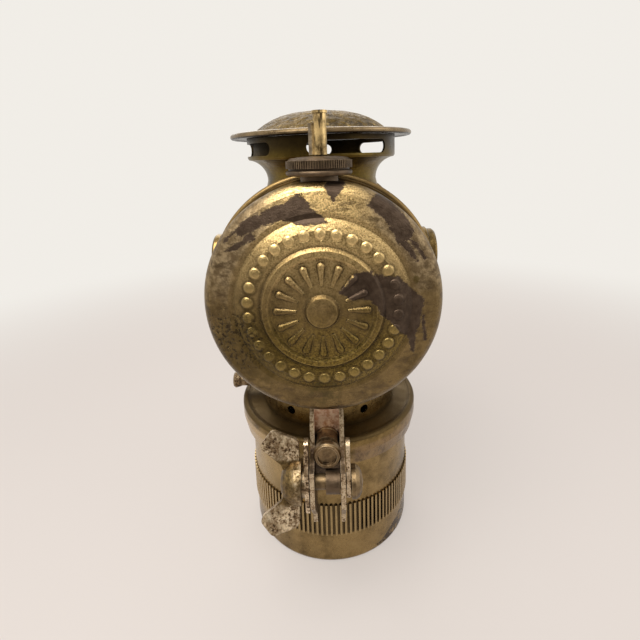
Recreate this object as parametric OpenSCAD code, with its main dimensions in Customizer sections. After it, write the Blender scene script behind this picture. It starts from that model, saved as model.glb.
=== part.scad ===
// Carbide bicycle headlamp, pressed brass, lens facing +Y.
// Origin: centre of the carbide cup's flat bottom. +Z is the lamp's upright axis.

/* [Carbide cup] */
// Outer radius of the cup wall
cup_r = 33.4; // [30:0.1:34]
// Thickness of the cup's sheet
cup_wall = 0.9; // [0.6:0.1:1.2]
// Height of the cup from its bottom to its rim
cup_h = 51; // [48:0.5:52]
// Height at which the grip flutes start
flute_z = 12.9; // [10:0.1:16]
// Length of the grip flutes
flute_len = 13.4; // [8:0.1:16]
// How far the flutes stand out of the wall
flute_rise = 0.7; // [0.4:0.1:1]
// Number of grip flutes
flute_count = 116; // [60:2:140]
// Rounding of the cup's bottom edge
cup_round = 1.6; // [0.8:0.1:2.5]

/* [Carbide basket, water tube and filter] */
// Gap between the basket and the cup wall
basket_gap = 0.5; // [0.3:0.1:1.5]
// Height of the basket
basket_h = 34; // [24:1:36]
// Sheet of the basket
basket_wall = 0.6; // [0.4:0.1:1]
// Outer radius of the water tube
tube_r = 2.2; // [1.8:0.1:3]
// Distance of the water tube behind the lamp's axis
tube_back = 12; // [10:0.5:13]
// Depth of the felt filter
felt_h = 6; // [4:0.5:7]

/* [Generator cap] */
// How far the generator cap stands out past the cup
cap_out = 3.7; // [3:0.1:4.5]
// How far the cap's skirt reaches down over the cup's rim
skirt_drop = 5.6; // [4.5:0.1:7]
// Height of the cap's flat ledge over the cup's rim
ledge_rise = 4.4; // [3.6:0.1:6]
// Radius of the rolled bead on the ledge's edge
bead_r = 1.5; // [1:0.1:1.8]
// Sheet of the cap
cap_wall = 0.9; // [0.6:0.1:1.2]
// Gap between the cap's screw ring and the cup
screw_gap = 0.3; // [0.2:0.05:0.5]
// Thickness of the sealing gasket
gasket_t = 1.5; // [1:0.1:2.5]

/* [Air gallery] */
// Outer radius of the gallery, the neck under the lamp house
gallery_r = 28; // [26:0.1:29]
// Radius of an air hole
air_hole_r = 1.7; // [1:0.1:2.2]
// Height of the air holes over the ledge
air_hole_rise = 5.2; // [4:0.1:8]
// Number of air holes, spread evenly
air_holes = 6; // [4:2:10]
// Outer radius of the cleaning screw's head
knob_r = 3.5; // [2.5:0.1:4]
// Height of the cleaning screw's axis over the ledge
knob_rise = 4.8; // [4:0.1:7]
// How far the screw head's end stands out from the gallery
knob_out = 13.4; // [11:0.1:15]

/* [Lamp house] */
// Height of the house's lowest line over the ledge
gallery_h = 18.4; // [16:0.1:21]
// Outer radius of the house drum
house_r = 37.8; // [35:0.1:42]
// Sheet of the house
house_wall = 0.8; // [0.6:0.1:1.2]
// Front end of the drum
house_front = 30.5; // [30:0.5:34]
// Plane of the seam between the house and the water tank
seam_y = -33; // [-34:0.5:-30]
// How far the rolled ring at the house's rear stands out
ring_rise = 1.6; // [1:0.1:2.4]
// Step from the seam forward to the rolled ring
ring_step = 4.6; // [3:0.1:6]

/* [Water tank] */
// How much smaller the tank's radius is than the house's
tank_inset = 0.6; // [0.2:0.1:1.2]
// Length of the tank's straight wall behind the seam
tank_straight = 11; // [8:0.5:13]
// Depth of the pressed back behind the straight wall
back_depth = 11.6; // [9:0.1:14]
// Rounding where the wall turns into the back
back_round = 4.4; // [3:0.1:6]
// Sheet of the tank
tank_wall = 0.8; // [0.6:0.1:1]
// Distance of the pressed groove from the tank's wall
groove_in = 10.3; // [8:0.1:12]
// Width of the raised ring between the groove and the medallion
band_w = 9.1; // [7:0.1:11]
// Radius of the medallion's centre boss
boss_r = 5.2; // [4:0.1:7]
// Number of petals pressed in the medallion
petal_count = 16; // [8:2:24]
// Number of studs pressed in the ring round the medallion
stud_count = 30; // [18:2:40]

/* [Filler and valve] */
// Distance of the filler's axis behind the seam
filler_in = 6.2; // [5.8:0.1:6.6]
// Outer radius of the filler cap
filler_r = 10.2; // [9:0.1:10.4]
// Gap under the filler cap, over the top of the tank
filler_gap = 1.4; // [1:0.1:2.2]
// Height of the filler cap
filler_h = 5.8; // [4.5:0.1:6.2]
// Knurls round the filler cap
knurl_count = 84; // [40:2:100]
// Radius of the valve spindle
spindle_r = 1.3; // [1:0.1:1.6]
// Height of the valve lever over the filler cap
lever_h = 12.9; // [9:0.1:15]
// Width of the valve lever's rounded part
lever_w = 3.5; // [3:0.1:4.5]

/* [Chimney and hood] */
// Outer radius of the chimney's waist
waist_r = 21.3; // [19:0.1:23]
// How far the waist lies below the top of the house
waist_drop = 2.1; // [1.5:0.1:3]
// How far the slotted collar stands out past the waist
bell_w = 7.3; // [5:0.1:9]
// Height of the bell between the waist and the collar
bell_h = 8; // [6.5:0.1:10]
// Height of the collar's straight wall
collar_h = 7.7; // [7:0.1:9]
// Height of the draught slots over the collar's lower edge
slot_rise = 1.3; // [1:0.1:2]
// Height of a draught slot
slot_h = 4.6; // [3:0.1:5.4]
// Angle that one draught slot spans
slot_span = 62; // [40:1:70]
// Angle of the first slot's middle from the rear towards +X
slot_turn = 22.4; // [0:0.1:45]
// How far the hood's brim stands out past the collar
brim_w = 6.1; // [4:0.1:7]
// How much smaller the dome's radius is than the collar's
dome_in = 1.6; // [1.5:0.1:4]
// Height of the dome's crown over the collar
crown_h = 9.8; // [7:0.1:12]
// Sheet of the chimney and hood
hood_wall = 0.8; // [0.6:0.1:1]

/* [Door and lens] */
// How far the door's bezel stands out past the house
bezel_rise = 2.6; // [2:0.1:3.5]
// Depth of the bezel from back to front
bezel_depth = 10; // [8:0.5:13]
// Width of the bezel's ring round the lens
bezel_w = 8.4; // [7:0.1:10]
// Thickness of the lens at its rim
lens_t = 2.4; // [1.8:0.1:3]
// Bulge of the lens
lens_bulge = 4; // [2:0.1:6]
// How far the hinge's axis stands out from the bezel
hinge_out = 2.2; // [2:0.1:3]
// Radius of the hinge pin
pin_r = 0.9; // [0.7:0.1:1.2]

/* [Jewels] */
// Outer radius of a side jewel's bezel
jewel_bezel_r = 10; // [8:0.1:11]
// Height of the jewels' axis over the house's axis
jewel_rise = 5; // [0:0.1:8]
// How far a jewel's bezel stands out from the house
jewel_out = 6.7; // [5:0.1:9]
// Width of the jewel bezel's rim
jewel_rim = 2; // [1.4:0.1:3]

/* [Bracket] */
// Width inside the bracket's channel
channel_w = 8.4; // [7:0.1:10]
// Sheet of the channel
channel_t = 1.5; // [1.2:0.1:2]
// Distance from the generator cap to the web's outer face
web_out = 3.9; // [3.4:0.1:5]
// How far the web reaches below the cap's skirt
web_drop = 4.4; // [2:0.1:7]
// How far the feet reach below the cap's skirt
feet_drop = 16.8; // [12:0.1:20]
// Height of the stud's axis over the ledge
stud_rise = 5.6; // [4.5:0.1:7]
// Radius of the stud's body
stud_r = 3.9; // [3:0.1:4.1]
// Radius of the stud's head
stud_head_r = 4.5; // [4:0.1:5]
// Length of the stud from the web to the end of its head
stud_len = 10; // [9:0.1:12]
// How far the clamp bolt's axis lies below the ledge
bolt_drop = 2.9; // [2.7:0.1:4]
// Distance of the clamp bolt's axis behind the web
bolt_out = 10.5; // [10.2:0.1:12]
// Radius of the clamp bolt's shank
bolt_r = 2.4; // [2:0.1:3]
// Radius of the clamp bolt's round head
bolt_head_r = 5.1; // [4.2:0.1:6.2]
// Thickness of a cheek plate
cheek_t = 1.3; // [1:0.1:1.6]
// Reach of a wing from the bolt's axis
wing_reach = 16; // [14:0.1:17.4]
// Thickness of a wing
wing_t = 2; // [1.5:0.1:2.6]
// How far the wing nut is turned from upright, in degrees
wing_lean = 18; // [0:1:90]

/* [Hidden] */
$fn = 96;
// Overlap that makes cuts run past a face
cut = 1;
// Clearance of a running fit, on the radius
run_fit = 0.05;
// Gap left between curved faces that do not work together
air = 0.3;

brass = [0.62, 0.51, 0.30];
dark_brass = [0.42, 0.35, 0.24];
nickel = [0.74, 0.70, 0.60];
steel = [0.45, 0.43, 0.40];

cup_in = cup_r - cup_wall;
basket_r = cup_in - basket_gap;
basket_z = cup_wall;
gasket_z = cup_h;

cap_r = cup_r + cap_out;
skirt_z = cup_h - skirt_drop;
ledge_z = cup_h + ledge_rise;
ledge_under = ledge_z - cap_wall;
gallery_in = gallery_r - cap_wall;
air_hole_z = ledge_z + air_hole_rise;
knob_z = ledge_z + knob_rise;
knob_reach = gallery_r + knob_out;
screw_r = 1.6;

house_low = ledge_z + gallery_h;
house_z = house_low + house_r;
rear_ring_r = house_r + ring_rise;
rear_ring_y = seam_y + ring_step;
ring_w = 6.4;

tank_r = house_r - tank_inset;
tank_low = house_z - tank_r;
groove_r = tank_r - groove_in;
medallion_r = groove_r - band_w;
filler_y = seam_y - filler_in;
filler_z = house_z + tank_r + filler_gap;
filler_top = filler_z + filler_h;
neck_r = filler_r - 4.4;

water_z = tank_low + 3.8;
seat_top = tank_low + 6.2;
seat_r = 2.7;
tube_y = -tube_back;
tube_wall = 0.8;
filter_r = gallery_r - cap_wall - 3;
felt_top = ledge_under - air;
stem_r = 3;
burner_hole_r = 7;
burner_foot_r = burner_hole_r + 2;
tip_z = house_z - house_r / 2;

waist_z = house_z + house_r - waist_drop;
collar_r = waist_r + bell_w;
collar_z = waist_z + bell_h;
collar_top = collar_z + collar_h;
slot_z = collar_z + slot_rise;
brim_r = collar_r + brim_w;
dome_r = collar_r - dome_in;
crown_z = collar_top + crown_h;

bezel_r = house_r + bezel_rise;
sight_r = bezel_r - bezel_w;
bezel_y = house_front - 2;
hinge_x = bezel_r + hinge_out;
hinge_y = bezel_y + 1.2;
lip_t = 1.4;
lens_back = bezel_depth - lip_t - lens_t;
knuckle_r = 1.9;

jewel_z = house_z + jewel_rise;
jewel_reach = house_r + jewel_out;
jewel_r = jewel_bezel_r - jewel_rim;

web_back = cap_r + web_out;
web_in = web_back - channel_t;
web_low = skirt_z - web_drop;
feet_z = skirt_z - feet_drop;
channel_out = channel_w / 2 + channel_t;
stud_z = ledge_z + stud_rise;
rivet_r = 2;
bolt_z = ledge_z - bolt_drop;
bolt_back = web_back + bolt_out;
cheek_in = channel_out + air;
washer_t = 1.1;
nut_face = -cheek_in - cheek_t - washer_t;

// Points on an arc, from angle a to angle b in n steps
function arc(x, y, r, a, b, n = 8) = [for (i = [0:n]) let (t = a + (b - a) * i / n) [x + r * cos(t), y + r * sin(t)]];

// Turns a profile of [radius, distance behind] points round the house's axis
module about_y() { translate([0, 0, house_z]) rotate([90, 0, 0]) rotate_extrude() children(); }

// A plain tube standing on z
module tube(r, inner, z, h) {
    translate([0, 0, z])
        difference() {
            cylinder(r = r, h = h);
            translate([0, 0, -cut]) cylinder(r = inner, h = h + 2 * cut);
        }
}

// A toothed outline for flutes and knurls
module toothed(r, rise, count, share = 0.44) {
    step = 360 / count;
    polygon([for (i = [0:count - 1], p = [[0, rise], [share, rise], [share + 0.12, 0], [0.88, 0]])
        let (a = (i + p[0]) * step) [(r + p[1]) * cos(a), (r + p[1]) * sin(a)]]);
}

module carbide_cup() {
    color(brass) {
        rotate_extrude()
            polygon(concat([[0, 0]], arc(cup_r - cup_round, cup_round, cup_round, -90, 0, 5),
                [[cup_r, cup_h], [cup_in, cup_h], [cup_in, cup_wall], [0, cup_wall]]));
        translate([0, 0, flute_z])
            difference() {
                linear_extrude(flute_len) toothed(cup_r - 0.1, flute_rise + 0.1, flute_count);
                translate([0, 0, -cut]) cylinder(r = cup_r - 0.4, h = flute_len + 2 * cut);
            }
    }
}

module carbide_basket() {
    color(steel)
        translate([0, 0, basket_z])
            rotate_extrude()
                polygon([[0, 0], [basket_r, 0], [basket_r, basket_h], [basket_r - basket_wall, basket_h],
                    [basket_r - basket_wall, basket_wall], [0, basket_wall]]);
}

module cup_gasket() {
    color([0.16, 0.14, 0.13]) tube(cup_r, cup_in - 1.6, gasket_z, gasket_t);
}

// Screw ring, rolled bead and flat ledge, pierced for the burner's stem and the water tube
module generator_cap() {
    inner = cup_r + screw_gap;
    mid_z = (skirt_z + ledge_z) / 2;
    seat_z = gasket_z + gasket_t;
    color(brass)
        difference() {
            rotate_extrude()
                polygon(concat([[inner, skirt_z], [cap_r - 1.1, skirt_z], [cap_r, mid_z]],
                    arc(cap_r - bead_r, ledge_z - bead_r + 0.6, bead_r, 0, 130, 8),
                    [[cap_r - 3.4, ledge_z], [stem_r + run_fit, ledge_z], [stem_r + run_fit, ledge_under],
                    [filter_r + 2, ledge_under], [filter_r + 2, seat_z], [inner, seat_z]]));
            translate([0, tube_y, ledge_under - cut]) cylinder(r = tube_r + run_fit, h = cap_wall + 2 * cut);
        }
}

module filter_felt() {
    color([0.70, 0.66, 0.55])
        translate([0, 0, felt_top - felt_h])
            difference() {
                cylinder(r = filter_r, h = felt_h);
                translate([0, tube_y, -cut]) cylinder(r = tube_r + air, h = felt_h + 2 * cut);
            }
}

// Dish that holds the felt under the cap, with gas holes in its floor
module filter_retainer() {
    floor_z = felt_top - felt_h - 1;
    color(steel)
        difference() {
            translate([0, 0, floor_z])
                rotate_extrude()
                    polygon([[0, 0], [filter_r + 1.4, 0], [filter_r + 1.4, ledge_under - floor_z],
                        [filter_r + 0.6, ledge_under - floor_z], [filter_r + 0.6, 0.8], [0, 0.8]]);
            translate([0, tube_y, floor_z - cut]) cylinder(r = tube_r + air, h = 3);
            for (a = [0:45:315])
                rotate(a + 22.5) translate([filter_r * 0.75, 0, floor_z - cut]) cylinder(r = 2.2, h = 3);
        }
}

// Runs forward from the valve seat inside the tank, turns down and drips into the basket
module water_tube() {
    low = basket_h + 2;
    run = tube_y - filler_y - seat_r;
    bore = tube_r - tube_wall;
    color(brass)
        difference() {
            union() {
                translate([0, tube_y, low]) cylinder(r = tube_r, h = water_z - low);
                translate([0, tube_y, water_z]) sphere(r = tube_r);
                translate([0, tube_y, water_z]) rotate([90, 0, 0]) cylinder(r = tube_r, h = run);
            }
            translate([0, tube_y, low - cut]) cylinder(r = bore, h = water_z - low + cut);
            translate([0, tube_y, water_z]) rotate([90, 0, 0]) cylinder(r = bore, h = run + cut);
        }
}

module air_gallery() {
    color(dark_brass)
        difference() {
            translate([0, 0, ledge_z]) cylinder(r = gallery_r, h = house_z - ledge_z);
            translate([0, 0, ledge_z - cut]) cylinder(r = gallery_in, h = house_z);
            translate([0, 2 * house_r, house_z]) rotate([90, 0, 0]) cylinder(r = house_r, h = 4 * house_r);
            translate([0, rear_ring_y + ring_w + 0.1, house_z]) rotate([90, 0, 0]) cylinder(r = rear_ring_r, h = 20);
            for (i = [0:air_holes - 1])
                rotate(i * 360 / air_holes + 180 / air_holes)
                    translate([0, 0, air_hole_z]) rotate([90, 0, 0]) cylinder(r = air_hole_r, h = gallery_r + cut);
            translate([-gallery_r - cut, 0, knob_z]) rotate([0, 90, 0]) cylinder(r = screw_r + air, h = 5);
        }
}

// Threaded boss brazed on the gallery for the cleaning screw
module screw_boss() {
    boss_len = 4.2;
    color(brass)
        difference() {
            translate([-gallery_r - boss_len + 1.2, 0, knob_z]) rotate([0, 90, 0])
                difference() {
                    cylinder(r = 3.1, h = boss_len);
                    translate([0, 0, -cut]) cylinder(r = screw_r + run_fit, h = boss_len + 2 * cut);
                }
            cylinder(r = gallery_r, h = house_z);
        }
}

module cleaning_screw() {
    head_t = 3.6;
    collar_end = 9.9;
    tip = knob_reach - gallery_r + 3;
    color(brass)
        translate([-knob_reach, 0, knob_z]) rotate([0, 90, 0])
            rotate_extrude()
                polygon([[0, 0], [knob_r - 0.6, 0], [knob_r, 0.8], [knob_r - 0.4, head_t - 1], [2.7, head_t],
                    [2.7, collar_end], [screw_r, collar_end], [screw_r, tip - 1], [0, tip]]);
}

// Drum with burner and water holes below, the flue above and a window each side
module lamp_house() {
    drum_len = house_front - seam_y;
    draught_at = 17;
    color(brass)
        difference() {
            translate([0, house_front, house_z]) rotate([90, 0, 0]) cylinder(r = house_r, h = drum_len);
            translate([0, house_front + cut, house_z]) rotate([90, 0, 0])
                cylinder(r = house_r - house_wall, h = drum_len + 2 * cut);
            translate([0, 0, house_z]) cylinder(r = waist_r - hood_wall, h = house_r + cut);
            translate([0, 0, house_low - cut]) cylinder(r = burner_hole_r, h = 6);
            translate([0, tube_y, house_low - cut]) cylinder(r = tube_r + air, h = 6);
            for (a = [0:60:300])
                rotate(a) translate([draught_at, 0, house_low - cut]) cylinder(r = 3, h = 9);
            for (s = [-1, 1])
                translate([s * (house_r - 6), 0, jewel_z]) rotate([0, s * 90, 0]) cylinder(r = jewel_r - 1, h = 12);
        }
}

// Rolled ring round the rear of the house
module house_rear_ring() {
    color(brass)
        translate([0, rear_ring_y, 0])
            about_y()
                polygon(concat([[house_r, -ring_w], [house_r + 0.6, -ring_w]],
                    arc(rear_ring_r - 1.2, -1.2, 1.2, -30, 90, 6), [[house_r, 0]]));
}

module tank_front_shell() {
    color(dark_brass)
        difference() {
            translate([0, seam_y, 0])
                about_y()
                    polygon([[0, 0], [tank_r - tank_wall, 0], [tank_r - tank_wall, 3.4],
                        [tank_r - 2 * tank_wall, 3.4], [tank_r - 2 * tank_wall, tank_wall], [0, tank_wall]]);
            translate([0, seam_y + cut, water_z]) rotate([90, 0, 0]) cylinder(r = tube_r + run_fit, h = 4);
        }
}

// Pressed profile of the tank's back, as [radius, distance behind the seam]
function back_outer() = let (e = tank_straight, d = back_depth) concat(
    [[tank_r, 0.1], [tank_r, e]],
    arc(tank_r - back_round, e, back_round, 12, 68, 5),
    [[groove_r + 1.6, e + d * 0.49], [groove_r, e + d * 0.48], [groove_r - 1, e + d * 0.54],
    [groove_r - 3.4, e + d * 0.64], [medallion_r + 2.2, e + d * 0.69], [medallion_r + 1, e + d * 0.68],
    [medallion_r, e + d * 0.78], [medallion_r - 1.6, e + d * 0.80], [medallion_r - 2.6, e + d * 0.76],
    [boss_r + 1.6, e + d * 0.84], [boss_r, e + d * 0.86], [boss_r - 0.8, e + d * 0.97], [boss_r - 2.4, e + d]]);

module tank_back_shell() {
    outer = back_outer();
    n = len(outer);
    inner = [for (i = [n - 1:-1:0]) let (side = i < 7)
        [max(outer[i][0] - (side ? tank_wall : 0.2), 0), outer[i][1] - (i < 2 ? 0 : tank_wall)]];
    color(brass)
        difference() {
            union() {
                translate([0, seam_y, 0])
                    about_y()
                        polygon(concat(outer, [[0, outer[n - 1][1]], [0, outer[n - 1][1] - tank_wall]], inner));
                back_ornament();
            }
            translate([0, filler_y, house_z]) cylinder(r = neck_r - tank_wall, h = tank_r + cut);
        }
}

// Generic rosette: petals round the boss, and a ring of round studs near the edge
module back_ornament() {
    start = -seam_y + tank_straight;
    petal_in = boss_r + 2.4;
    petal_out = medallion_r - 4.4;
    petal_w = 1.3;
    petal_slope = 6;
    stud_w = 1.9;
    for (i = [0:petal_count - 1])
        translate([0, 0, house_z]) rotate([0, i * 360 / petal_count, 0])
            translate([petal_in, -(start + back_depth * 0.80), 0]) rotate([0, 90, petal_slope]) {
                cylinder(r1 = 0.6, r2 = petal_w, h = petal_out - petal_in, $fn = 32);
                translate([0, 0, petal_out - petal_in]) sphere(r = petal_w, $fn = 32);
            }
    for (i = [0:stud_count - 1])
        translate([0, 0, house_z]) rotate([0, (i + 0.5) * 360 / stud_count, 0])
            translate([groove_r - band_w / 2, -(start + back_depth * 0.62), 0]) rotate([90, 0, 0])
                rotate_extrude($fn = 32)
                    polygon([[0, -0.6], [stud_w, -0.6], [stud_w, 0.2], [stud_w - 0.5, 0.75], [stud_w * 0.4, 1], [0, 1.05]]);
}

module filler_neck() {
    neck_top = filler_z + 2.4;
    color(brass)
        difference() {
            translate([0, filler_y, house_z]) cylinder(r = neck_r, h = neck_top - house_z);
            translate([0, filler_y, house_z - cut]) cylinder(r = neck_r - tank_wall, h = tank_r + filler_h);
            translate([0, 0, house_z]) rotate([90, 0, 0]) cylinder(r = tank_r, h = 2 * filler_in - seam_y);
        }
}

// Screw cap: rolled lip, knurled band and low crown
module filler_cap() {
    lip_h = 1.7;
    band_z = lip_h + 0.5;
    band_h = 2.3;
    crown = band_z + band_h;
    color(dark_brass)
        translate([0, filler_y, filler_z])
            difference() {
                union() {
                    rotate_extrude()
                        polygon(concat([[0, 0]], arc(filler_r - lip_h / 2, lip_h / 2, lip_h / 2, -90, 90, 8), [[0, lip_h]]));
                    cylinder(r = filler_r - 0.9, h = crown);
                    translate([0, 0, band_z]) linear_extrude(band_h) toothed(filler_r - 0.3, 0.25, knurl_count);
                    rotate_extrude()
                        polygon([[0, crown - 0.1], [filler_r - 0.4, crown - 0.1], [filler_r - 1.4, crown + 0.7],
                            [filler_r * 0.6, crown + 1.1], [0, filler_h]]);
                }
                translate([0, 0, -cut]) cylinder(r = neck_r + air, h = cut + 3.6);
                cylinder(r = spindle_r + run_fit, h = filler_h + cut);
            }
}

module cap_washer() {
    color([0.16, 0.14, 0.13])
        translate([0, filler_y, 0]) tube(neck_r, spindle_r + 1.5, filler_z + 2.4, 1.2);
}

// Seat soldered in the tank, with a flat face for the water tube
module valve_seat() {
    height = seat_top - tank_low;
    color(brass)
        difference() {
            intersection() {
                translate([0, filler_y, tank_low]) {
                    cylinder(r = seat_r, h = height);
                    translate([-seat_r, 0, 0]) cube([2 * seat_r, seat_r, height]);
                }
                translate([0, 0, house_z]) rotate([90, 0, 0]) cylinder(r = tank_r - tank_wall, h = 2 * filler_in - seam_y);
            }
            translate([0, filler_y, tank_low + 2]) cylinder(r = spindle_r + air, h = height);
            translate([0, filler_y, water_z]) rotate([-90, 0, 0]) cylinder(r = tube_r - tube_wall, h = seat_r + cut);
        }
}

module valve_spindle() {
    point = 3;
    low = tank_low + tank_wall + 1.5;
    color(brass)
        translate([0, filler_y, low]) {
            translate([0, 0, point]) cylinder(r = spindle_r, h = filler_top + 2 - low - point);
            cylinder(r1 = 0.3, r2 = spindle_r, h = point);
        }
}

// Folded strip: a rounded half tube with a flat flange, and a turned-over head
module valve_lever() {
    tube_x = 0.6;
    lip = 0.8;
    color(brass)
        translate([0, filler_y, filler_top + air])
            difference() {
                union() {
                    translate([tube_x, 0, 0]) cylinder(r = lever_w / 2 + 0.3, h = lever_h - lip);
                    translate([-2.9, -0.5, 0]) cube([3, 1, lever_h * 0.72]);
                    translate([tube_x, 0, lever_h - lip]) cylinder(r = lever_w / 2 + 0.6, h = lip);
                }
                translate([0, 0, -cut]) cylinder(r = spindle_r, h = cut + 1.7);
                translate([tube_x, 0, lever_h - 3]) cylinder(r = lever_w / 2 - 0.6, h = 3 + cut);
            }
}

// Bell-shaped waist and slotted collar
module chimney() {
    root_r = waist_r + 1.4;
    outer = concat([[root_r, house_z + sqrt(pow(house_r, 2) - pow(root_r + 0.6, 2))]],
        arc(waist_r + bell_h, waist_z, bell_h, 180, 98, 10), [[collar_r, collar_z + 0.6], [collar_r, collar_top]]);
    n = len(outer);
    inner = [for (i = [n - 1:-1:0]) [outer[i][0] - hood_wall, outer[i][1]]];
    slot_arc = slot_span - 2 * asin(slot_h / 2 / collar_r);
    color(brass)
        difference() {
            rotate_extrude() polygon(concat(outer, inner));
            translate([0, 2 * house_r, house_z]) rotate([90, 0, 0]) cylinder(r = house_r, h = 4 * house_r);
            for (i = [0:3])
                rotate(i * 90 + slot_turn - 90) {
                    translate([0, 0, slot_z])
                        rotate(-slot_arc / 2) rotate_extrude(angle = slot_arc)
                            translate([collar_r - 3, 0]) square([5, slot_h]);
                    for (s = [-1, 1])
                        rotate(s * slot_arc / 2)
                            translate([collar_r - 3, 0, slot_z + slot_h / 2]) rotate([0, 90, 0])
                                cylinder(r = slot_h / 2, h = 5);
                }
        }
}

// Flat plate over the collar, its edge rolled under
module hood_brim() {
    plate_t = 1.2;
    color(brass)
        rotate_extrude()
            polygon(concat([[waist_r, collar_top], [brim_r - 2, collar_top + 0.2]],
                arc(brim_r - 1, collar_top + 0.8, 1, -120, 150, 9),
                [[dome_r + 1, collar_top + plate_t], [waist_r, collar_top + plate_t]]));
}

// Pressed dome, full at its shoulders
module hood_dome() {
    foot = collar_top + 1.2;
    function bulge(r, h) = [for (i = [0:10]) let (t = cos(i * 9)) [r * t, h * (1 - pow(t, 3))]];
    outer = bulge(dome_r, crown_z - foot);
    inner = bulge(dome_r - hood_wall, crown_z - foot - hood_wall);
    color(dark_brass)
        translate([0, 0, foot])
            rotate_extrude() polygon(concat(outer, [for (i = [10:-1:0]) inner[i]]));
}

// Distances here run forward from the house's rim
module about_front() { translate([0, bezel_y, house_z]) rotate([-90, 0, 0]) rotate_extrude() children(); }

// Turned rim with a groove behind its face for the lens
module door_bezel() {
    d = bezel_depth;
    round_r = 4;
    color(brass)
        about_front()
            polygon(concat([[house_r + air, 0]], arc(bezel_r - 1.2, 1.2, 1.2, -60, 0, 4),
                arc(bezel_r - round_r, d - round_r, round_r, 0, 70, 6), [[sight_r + 1.5, d + 0.4], [sight_r, d - 0.4],
                [sight_r, d - lip_t], [bezel_r - 4.6, d - lip_t], [house_r + air, d - round_r]]));
}

// Flat behind, domed in front
module lens() {
    rim = sight_r + 3;
    sphere_r = (pow(rim, 2) + pow(lens_bulge, 2)) / (2 * lens_bulge);
    a = asin(sight_r / sphere_r);
    color([0.85, 0.90, 0.88, 0.5])
        about_front()
            polygon(concat([[0, lens_back], [rim, lens_back], [rim, lens_back + lens_t]],
                [for (i = [0:8]) let (t = a * (8 - i) / 8)
                    [sphere_r * sin(t), lens_back + lens_t + sphere_r * (cos(t) - cos(a))]]));
}

// Spring wire that holds the lens in the bezel
module lens_ring() {
    wire_r = 0.6;
    color(steel)
        about_front() translate([sight_r + 1.9, lens_back - wire_r]) circle(r = wire_r, $fn = 24);
}

module hinge_place() { translate([-hinge_x, hinge_y, house_z]) children(); }

module door_knuckle() {
    knuckle_h = 6;
    color(brass)
        hinge_place()
            difference() {
                union() {
                    translate([0, 0, -knuckle_h / 2]) cylinder(r = knuckle_r, h = knuckle_h);
                    translate([0, 0.7, -knuckle_h / 2]) cube([hinge_out + 1, 1.2, knuckle_h]);
                }
                translate([0, 0, -knuckle_h]) cylinder(r = pin_r + run_fit, h = 2 * knuckle_h);
                translate([hinge_x, -hinge_y + bezel_y - cut, 0]) rotate([-90, 0, 0]) cylinder(r = bezel_r, h = 20);
            }
}

// Two knuckles on straps that run back to the house
module house_knuckles() {
    at_z = 5.3;
    tall = 4;
    strap_back = 6;
    color(brass)
        hinge_place()
            for (s = [-1, 1])
                difference() {
                    translate([0, 0, s * at_z - tall / 2]) {
                        cylinder(r = knuckle_r, h = tall);
                        translate([0, -strap_back, 0]) cube([1.2, strap_back, tall]);
                        translate([0, -strap_back, 0]) cube([hinge_x - house_r + 3.2, 1.2, tall]);
                    }
                    translate([0, 0, s * at_z - tall]) cylinder(r = pin_r, h = 2 * tall);
                    translate([hinge_x, 0, 0]) rotate([90, 0, 0]) cylinder(r = house_r, h = 30);
                    translate([hinge_x, 2, 0]) rotate([90, 0, 0]) cylinder(r = bezel_r + air, h = hinge_y - bezel_y + 2.5);
                }
}

module hinge_pin() {
    half = 8;
    color(steel)
        hinge_place() {
            translate([0, 0, -half]) cylinder(r = pin_r, h = 2 * half);
            translate([0, 0, half - 0.4]) cylinder(r = 1.5, h = 0.9);
        }
}

// Thumb piece soldered on the bezel
module door_catch() {
    tall = 8;
    color(brass)
        difference() {
            translate([bezel_r - 1.5, bezel_y + 1.6, house_z - tall / 2]) cube([4.2, 4, tall]);
            translate([0, 0, house_z]) rotate([-90, 0, 0]) cylinder(r = bezel_r, h = 2 * house_r);
        }
}

// Parabolic reflector behind the flame, open for the burner and the chimney draught
module reflector() {
    back = -22;
    front = 16;
    eye_r = 9;
    mouth_r = house_r - 3.8;
    rim = house_r - house_wall - air;
    sheet = 0.8;
    outer = [for (i = [0:8]) let (r = eye_r + (mouth_r - eye_r) * i / 8)
        [r, -back - (front - back) * (pow(r, 2) - pow(eye_r, 2)) / (pow(mouth_r, 2) - pow(eye_r, 2))]];
    inner = [for (i = [8:-1:0]) [outer[i][0] - sheet, outer[i][1] - 0.3]];
    color(nickel)
        difference() {
            about_y()
                polygon(concat(outer, [[rim, -front], [rim, -front - sheet], [mouth_r, -front - sheet]], inner));
            translate([0, 0, house_z + 4]) cylinder(r = 16, h = house_r);
            translate([0, 0, house_low]) cylinder(r = eye_r, h = house_r - 4);
        }
}

// Gas pipe with a round foot on the floor of the house
module burner_stem() {
    foot_z = house_z - sqrt(pow(house_r - house_wall, 2) - pow(burner_foot_r, 2));
    color(brass)
        difference() {
            union() {
                translate([0, 0, ledge_under]) cylinder(r = stem_r, h = tip_z - ledge_under);
                translate([0, 0, foot_z]) cylinder(r = burner_foot_r, h = 1.2);
            }
            translate([0, 0, ledge_under - cut]) cylinder(r = 1.2, h = tip_z - ledge_under + 2 * cut);
        }
}

// Ceramic tip with two arms whose jets meet
module burner_tip() {
    base_h = 6;
    color([0.92, 0.89, 0.82])
        difference() {
            union() {
                translate([0, 0, tip_z]) cylinder(r = stem_r + 0.6, h = base_h);
                for (s = [-1, 1])
                    translate([s * 2, 0, tip_z + base_h - 1]) rotate([0, s * 40, 0]) cylinder(r = 1.7, h = 7);
            }
            translate([0, 0, tip_z - cut]) cylinder(r = 1, h = base_h - 1);
        }
}

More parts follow.
